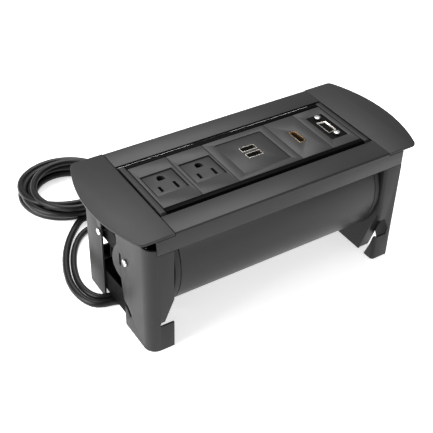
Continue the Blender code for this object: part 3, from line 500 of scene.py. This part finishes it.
def capOutline(side):
    # Plate outline with a shallow arc and round corners, finer than the solid's
    arcRadius, corner, end, half, inner = 125.0, 5.0, 133.2, 54.8, 94.55
    arcCentre = end - arcRadius
    cornerY = half - corner
    reach = arcRadius - corner
    cornerX = arcCentre + math.sqrt(reach**2 - cornerY**2)
    lean = math.degrees(math.asin(cornerY / reach))
    points = [(inner, -half)] + arc((cornerX, -cornerY), corner, 12, -90, -lean)
    points += arc((arcCentre, 0), arcRadius, 48, -lean, lean)[1:]
    points += arc((cornerX, cornerY), corner, 12, lean, 90)[1:] + [(inner, half)]
    return [(side * x, y) for x, y in points]


def makeCap(name, side, replaced):
    bm = bmesh.new()
    addPrism(bm, capOutline(side), 2, deckTop - 2, deckTop)
    cap = addPiece(name, bm, coat, "powder_coat", "frame", replaced, sharp=30)
    soften(cap, 0.45, 3, 60)
    return cap


makeCap("left_cap_fine", -1, "left_end_cap")
makeCap("right_cap_fine", 1, "right_end_cap")
cleanCopy("left_bracket", coat, "powder_coat", "frame", 0.22, 2)
cleanCopy("right_bracket", coat, "powder_coat", "frame", 0.22, 2)
# The end plate and cord apron inside the bay carry the painted shade copy of the powder coat
cleanCopy("left_end_plate", coatPaintedShade, "powder_coat", "frame", 0.2, 1)
cleanCopy("cord_apron", coatPaintedShade, "powder_coat", "frame", 0.15, 1)
cleanCopy("cord_guide", deepPlastic, "dark_polymer", "frame", 0.3, 2)
tune(("left_bearing_bush", "right_bearing_bush"), whitePlastic, "frame")


def makeScrew(name, y, replaced):
    # Pan-head screw with a cross recess, head to the left
    bm = bmesh.new()
    z = 64.5
    head = -116.6
    profile = [
        (0.0, head + 15.0), (1.1, head + 15.0), (1.45, head + 14.4), (1.45, head), (2.9, head), (3.0, head - 0.3),
        (2.85, head - 0.9), (2.4, head - 1.35), (1.5, head - 1.6), (0.0, head - 1.6),
    ]
    verts = [bm.verts.new(Vector((x, y + r, z)) * mm) for r, x in profile]
    edges = [bm.edges.new(pair) for pair in zip(verts, verts[1:])]
    bmesh.ops.spin(
        bm, geom=verts + edges, cent=Vector((0, y, z)) * mm, axis=(1, 0, 0), angle=2 * math.pi, steps=36,
        use_merge=True,
    )
    bmesh.ops.remove_doubles(bm, verts=bm.verts, dist=0.00001)
    screw = addPiece(name, bm, zinc, "zinc_steel", "frame", replaced, sharp=40)
    for halfY, halfZ in ((1.5, 0.3), (0.3, 1.5)):
        corners = ((-halfY, -halfZ), (halfY, -halfZ), (halfY, halfZ), (-halfY, halfZ))
        cutter = bmesh.new()
        addPrism(cutter, [(y + across, z + up) for across, up in corners], 0, head - 2, head - 0.9)
        applyCut(screw, toolObject(name + "_slot", cutter))
    return screw


def toolObject(name, bm):
    bmesh.ops.recalc_face_normals(bm, faces=bm.faces)
    mesh = bpy.data.meshes.new(name)
    bm.to_mesh(mesh)
    bm.free()
    tool = bpy.data.objects.new(name, mesh)
    scene.collection.objects.link(tool)
    return tool


def applyCut(target, tool, operation="DIFFERENCE"):
    # Boolean, applied, with the tool removed
    modifier = target.modifiers.new("cut", "BOOLEAN")
    modifier.operation = operation
    modifier.solver = "EXACT"
    modifier.object = tool
    depsgraph = bpy.context.evaluated_depsgraph_get()
    mesh = bpy.data.meshes.new_from_object(target.evaluated_get(depsgraph))
    target.modifiers.remove(modifier)
    target.data = mesh
    bpy.data.objects.remove(tool, do_unlink=True)
    mesh.shade_smooth()
    mesh.set_sharp_from_angle(angle=math.radians(35))


makeScrew("front_screw_fine", -20.7, "front_guide_screw")
makeScrew("rear_screw_fine", 20.7, "rear_guide_screw")
print("frame finished")


def drumArc(radius, flat, side, steps):
    start = math.degrees(math.asin(flat / radius))
    return [(side * y, z) for y, z in arc((0, axisHeight), radius, steps, start, -start)]


def makeShell(name, side, replaced):
    # Extruded shell, finer than the solid's, with a soft corner where it turns onto the flat
    lip, wall, flat = side * 27.3, 1.8, 41.5
    points = [(lip, axisHeight + flat)] + drumArc(drumRadius, flat, side, 96)
    points += [(lip, axisHeight - flat), (lip, axisHeight - flat + wall)]
    points += list(reversed(drumArc(drumRadius - wall, flat - wall, side, 72))) + [(lip, axisHeight + flat - wall)]
    bm = bmesh.new()
    addPrism(bm, points, 0, -88.2, 87.9)
    shell = addPiece(name, bm, drumFinishWithPaintedShade, "black_anodised", "drum", replaced, sharp=25)
    soften(shell, 0.3, 3, 35)
    return shell


makeShell("front_shell_fine", -1, "front_drum_shell")
makeShell("rear_shell_fine", 1, "rear_drum_shell")


def discOutline():
    right = drumArc(drumRadius, 41.5, 1, 96)
    return right + [(-y, z) for y, z in reversed(right)]


def makeDisc(name, low, high, spigots, bore, replaced):
    bm = bmesh.new()
    addPrism(bm, discOutline(), 0, low, high)
    end = addPiece(name, bm, discPlastic, "black_polymer", "drum", replaced, sharp=25)
    soften(end, 0.5, 3, 60)
    for centre, radius, near, far in spigots:
        tool = bmesh.new()
        addPrism(tool, arc(centre, radius, 48), 0, near, far)
        applyCut(end, toolObject(name + "_spigot", tool), "UNION")
    if bore:
        tool = bmesh.new()
        addPrism(tool, arc((0, axisHeight), bore, 48), 0, -102, low + 8)
        applyCut(end, toolObject(name + "_bore", tool))
    return end


hollowHub = [((0, axisHeight), 11.0, -100.4, -92.0)]
makeDisc("left_disc_fine", -93.3, -88.5, hollowHub, 8.0, "left_end_disc")
pivotAndStop = [((0, axisHeight), 6.0, 92.0, 101.0), ((22, axisHeight), 1.5, 92.0, 97.6)]
makeDisc("right_disc_fine", 88.2, 93.0, pivotAndStop, 0, "right_end_disc")
cleanCopy("lid_panel", drumFinishWithPaintedShade, "black_anodised", "drum", 0.25, 2)
tune(("left_retaining_ring", "right_retaining_ring", "friction_washer"), zinc, "drum")
print("drum finished")


def makeFrame(name, edges, hole, replaced):
    # Module plate with a window that has round corners
    bm = bmesh.new()
    addPrism(bm, roundBox((edges[0], -27.0), (edges[1], 27.0), 0.5, 3), 2, 104.4, 106.8)
    plate = addPiece(name, bm, framePlastic, "black_polymer", "drum", replaced, sharp=30)
    soften(plate, 0.22, 2, 60)
    tool = bmesh.new()
    addPrism(tool, roundBox(*hole, 0.8, 4), 2, 103, 108)
    applyCut(plate, toolObject(name + "_window", tool))
    soften(plate, 0.16, 2, 60)
    return plate


def makeOutlet(index, x, edges):
    halfX, halfY = 13.4, 13.1
    makeFrame(
        f"outlet_frame_{index}_fine", edges, ((x - halfX, -halfY), (x + halfX, halfY)), f"outlet_frame_{index}"
    )
    top = 106.1
    bm = bmesh.new()
    faceLow, faceHigh = (x - halfX + 0.7, -halfY + 0.3), (x + halfX - 0.7, halfY - 0.7)
    addPrism(bm, roundBox(faceLow, faceHigh, 0.9, 4), 2, top - 3.4, top)
    face = addPiece(f"outlet_face_{index}_fine", bm, facePlastic, "black_polymer", "drum", f"outlet_face_{index}")
    soften(face, 0.35, 3, 60)
    for bladeX, long in ((x - 6.35, 6.6), (x + 6.35, 8.2)):
        low, high = (bladeX - 1.2, -5.95 - long / 2), (bladeX + 1.2, -5.95 + long / 2)
        tool = bmesh.new()
        addPrism(tool, roundBox(low, high, 0.25, 2), 2, top - 5, top + 1)
        applyCut(face, toolObject("blade_slot", tool))
    ground = [(x - 3.0, 3.4), (x + 3.0, 3.4)] + arc((x, 6.2), 3.0, 24, 0, 180)
    tool = bmesh.new()
    addPrism(tool, ground, 2, top - 5, top + 1)
    applyCut(face, toolObject("ground_hole", tool))
    tune((f"outlet_housing_{index}",), darkPlastic, "drum")
    tune((f"outlet_contacts_{index}",), brass, "drum")


makeOutlet(1, -71.9, (-87.9, -55.9))
makeOutlet(2, -39.5, (-55.6, -24.6))


def makeUsb():
    x, half, top = 4.9, 21.0, 106.4
    makeFrame("usb_frame_fine", (-24.3, 32.4), ((x - half, -half), (x + half, half)), "usb_frame")
    bm = bmesh.new()
    addPrism(bm, roundBox((x - half + 0.3, -half + 0.3), (x + half - 0.3, half - 0.3), 0.8, 4), 2, top - 2.6, top)
    face = addPiece("usb_face_fine", bm, facePlastic, "black_polymer", "drum", "usb_face")
    soften(face, 0.3, 2, 60)
    for y in (6.5, -2.2):
        tool = bmesh.new()
        addPrism(tool, roundBox((x - 6.9, y - 3.3), (x + 6.9, y + 3.3), 0.4, 3), 2, top - 5, top + 1)
        applyCut(face, toolObject("port_window", tool))
    cleanCopy("usb_shell_1", silver, "nickel_shell", "drum")
    cleanCopy("usb_shell_2", silver, "nickel_shell", "drum")
    cleanCopy("usb_port_block", deepPlastic, "dark_polymer", "drum", 0.1, 1)
    tune(("usb_charger_board",), board, "drum")


makeUsb()


def makeHdmi():
    cleanCopy("hdmi_plate", framePlastic, "black_polymer", "drum", 0.2, 2)
    cleanCopy("hdmi_shell", brightNickel, "nickel_shell", "drum", 0.12, 2)
    cleanCopy("hdmi_tongue", deepPlastic, "dark_polymer", "drum", 0.15, 1)


def makeVga():
    x = 75.8
    makeFrame("vga_plate_fine", (61.5, 87.8), ((x - 7.9, -17.1), (x + 7.9, 17.1)), "vga_plate")
    cleanCopy("vga_bezel", deepPlastic, "dark_polymer", "drum", 0.2, 2)
    cleanCopy("vga_shell", silver, "nickel_shell", "drum", 0.06, 1)
    insert = cleanCopy("vga_insert", deepPlastic, "dark_polymer", "drum", 0.15, 1)
    for column, shift in ((-1.9, 0.0), (0.0, 1.1), (1.9, 0.0)):
        for i in range(5):
            tool = bmesh.new()
            addPrism(tool, arc((x + column, (i - 2) * 2.3 + shift - 0.4), 0.45, 12), 2, 103.5, 106.2)
            applyCut(insert, toolObject("pin_hole", tool))
    for nodeName in ("vga_front_jack_screw", "vga_rear_jack_screw"):
        cleanCopy(nodeName, zinc, "nickel_shell", "drum", 0.2, 2)


makeHdmi()
makeVga()
tune(("terminal_block",), whitePlastic, "drum")
tune(("supply_lead",), jacket, "drum")
print("modules finished")


def softBox(name, place, target, size, power):
    data = bpy.data.lights.new(name, "AREA")
    data.shape = "RECTANGLE"
    data.size, data.size_y = size
    data.energy = power
    lamp = bpy.data.objects.new(name, data)
    lamp.location = place
    way = Vector(target) - Vector(place)
    lamp.rotation_euler = way.to_track_quat("-Z", "Y").to_euler()
    scene.collection.objects.link(lamp)
    return lamp


bm = bmesh.new()
bmesh.ops.create_grid(bm, x_segments=1, y_segments=1, size=4.0)
mesh = bpy.data.meshes.new("floor")
bm.to_mesh(mesh)
bm.free()
floor = bpy.data.objects.new("floor", mesh)
# White sweep paper, lifted so that it stays white in soft shade
floorFinish, _, floorShader = newSurface("matte_white_paper", "#f6f6f6", 0.9)
floorShader.inputs["Emission Color"].default_value = (1, 1, 1, 1)
floorShader.inputs["Emission Strength"].default_value = 0.62
mesh.materials.append(floorFinish)
scene.collection.objects.link(floor)
floor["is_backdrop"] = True

world = bpy.data.worlds.new("studio")
scene.world = world
world.use_nodes = True
sky = world.node_tree
backdrop = sky.nodes["Background"]
backdrop.inputs["Color"].default_value = (1, 1, 1, 1)
# The camera sees plain white; the pieces reflect a dimmer room
rays = addNode(sky, "ShaderNodeLightPath")
level = addNode(sky, "ShaderNodeMapRange", {"To Min": 0.42, "To Max": 1.0})
sky.links.new(rays.outputs["Is Camera Ray"], level.inputs["Value"])
sky.links.new(level.outputs["Result"], backdrop.inputs["Strength"])
softBox("side_light", (-1.1, 0.1, 0.5), (0, 0, 0.05), (0.8, 0.8), 18.0)
softBox("front_low", (0.1, -1.3, 0.25), (0, 0, 0.03), (1.2, 0.4), 5.0)
softBox("top", (0.2, 0.6, 1.3), (0, 0, 0.05), (1.0, 1.0), 20.0)
scene.view_settings.view_transform = "Standard"

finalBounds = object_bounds()


def plain(value):
    if isinstance(value, (tuple, list, Vector)):
        return [plain(v) for v in value]
    return float(value)


{"cad": plain(cadBounds), "visual": plain(finalBounds)}
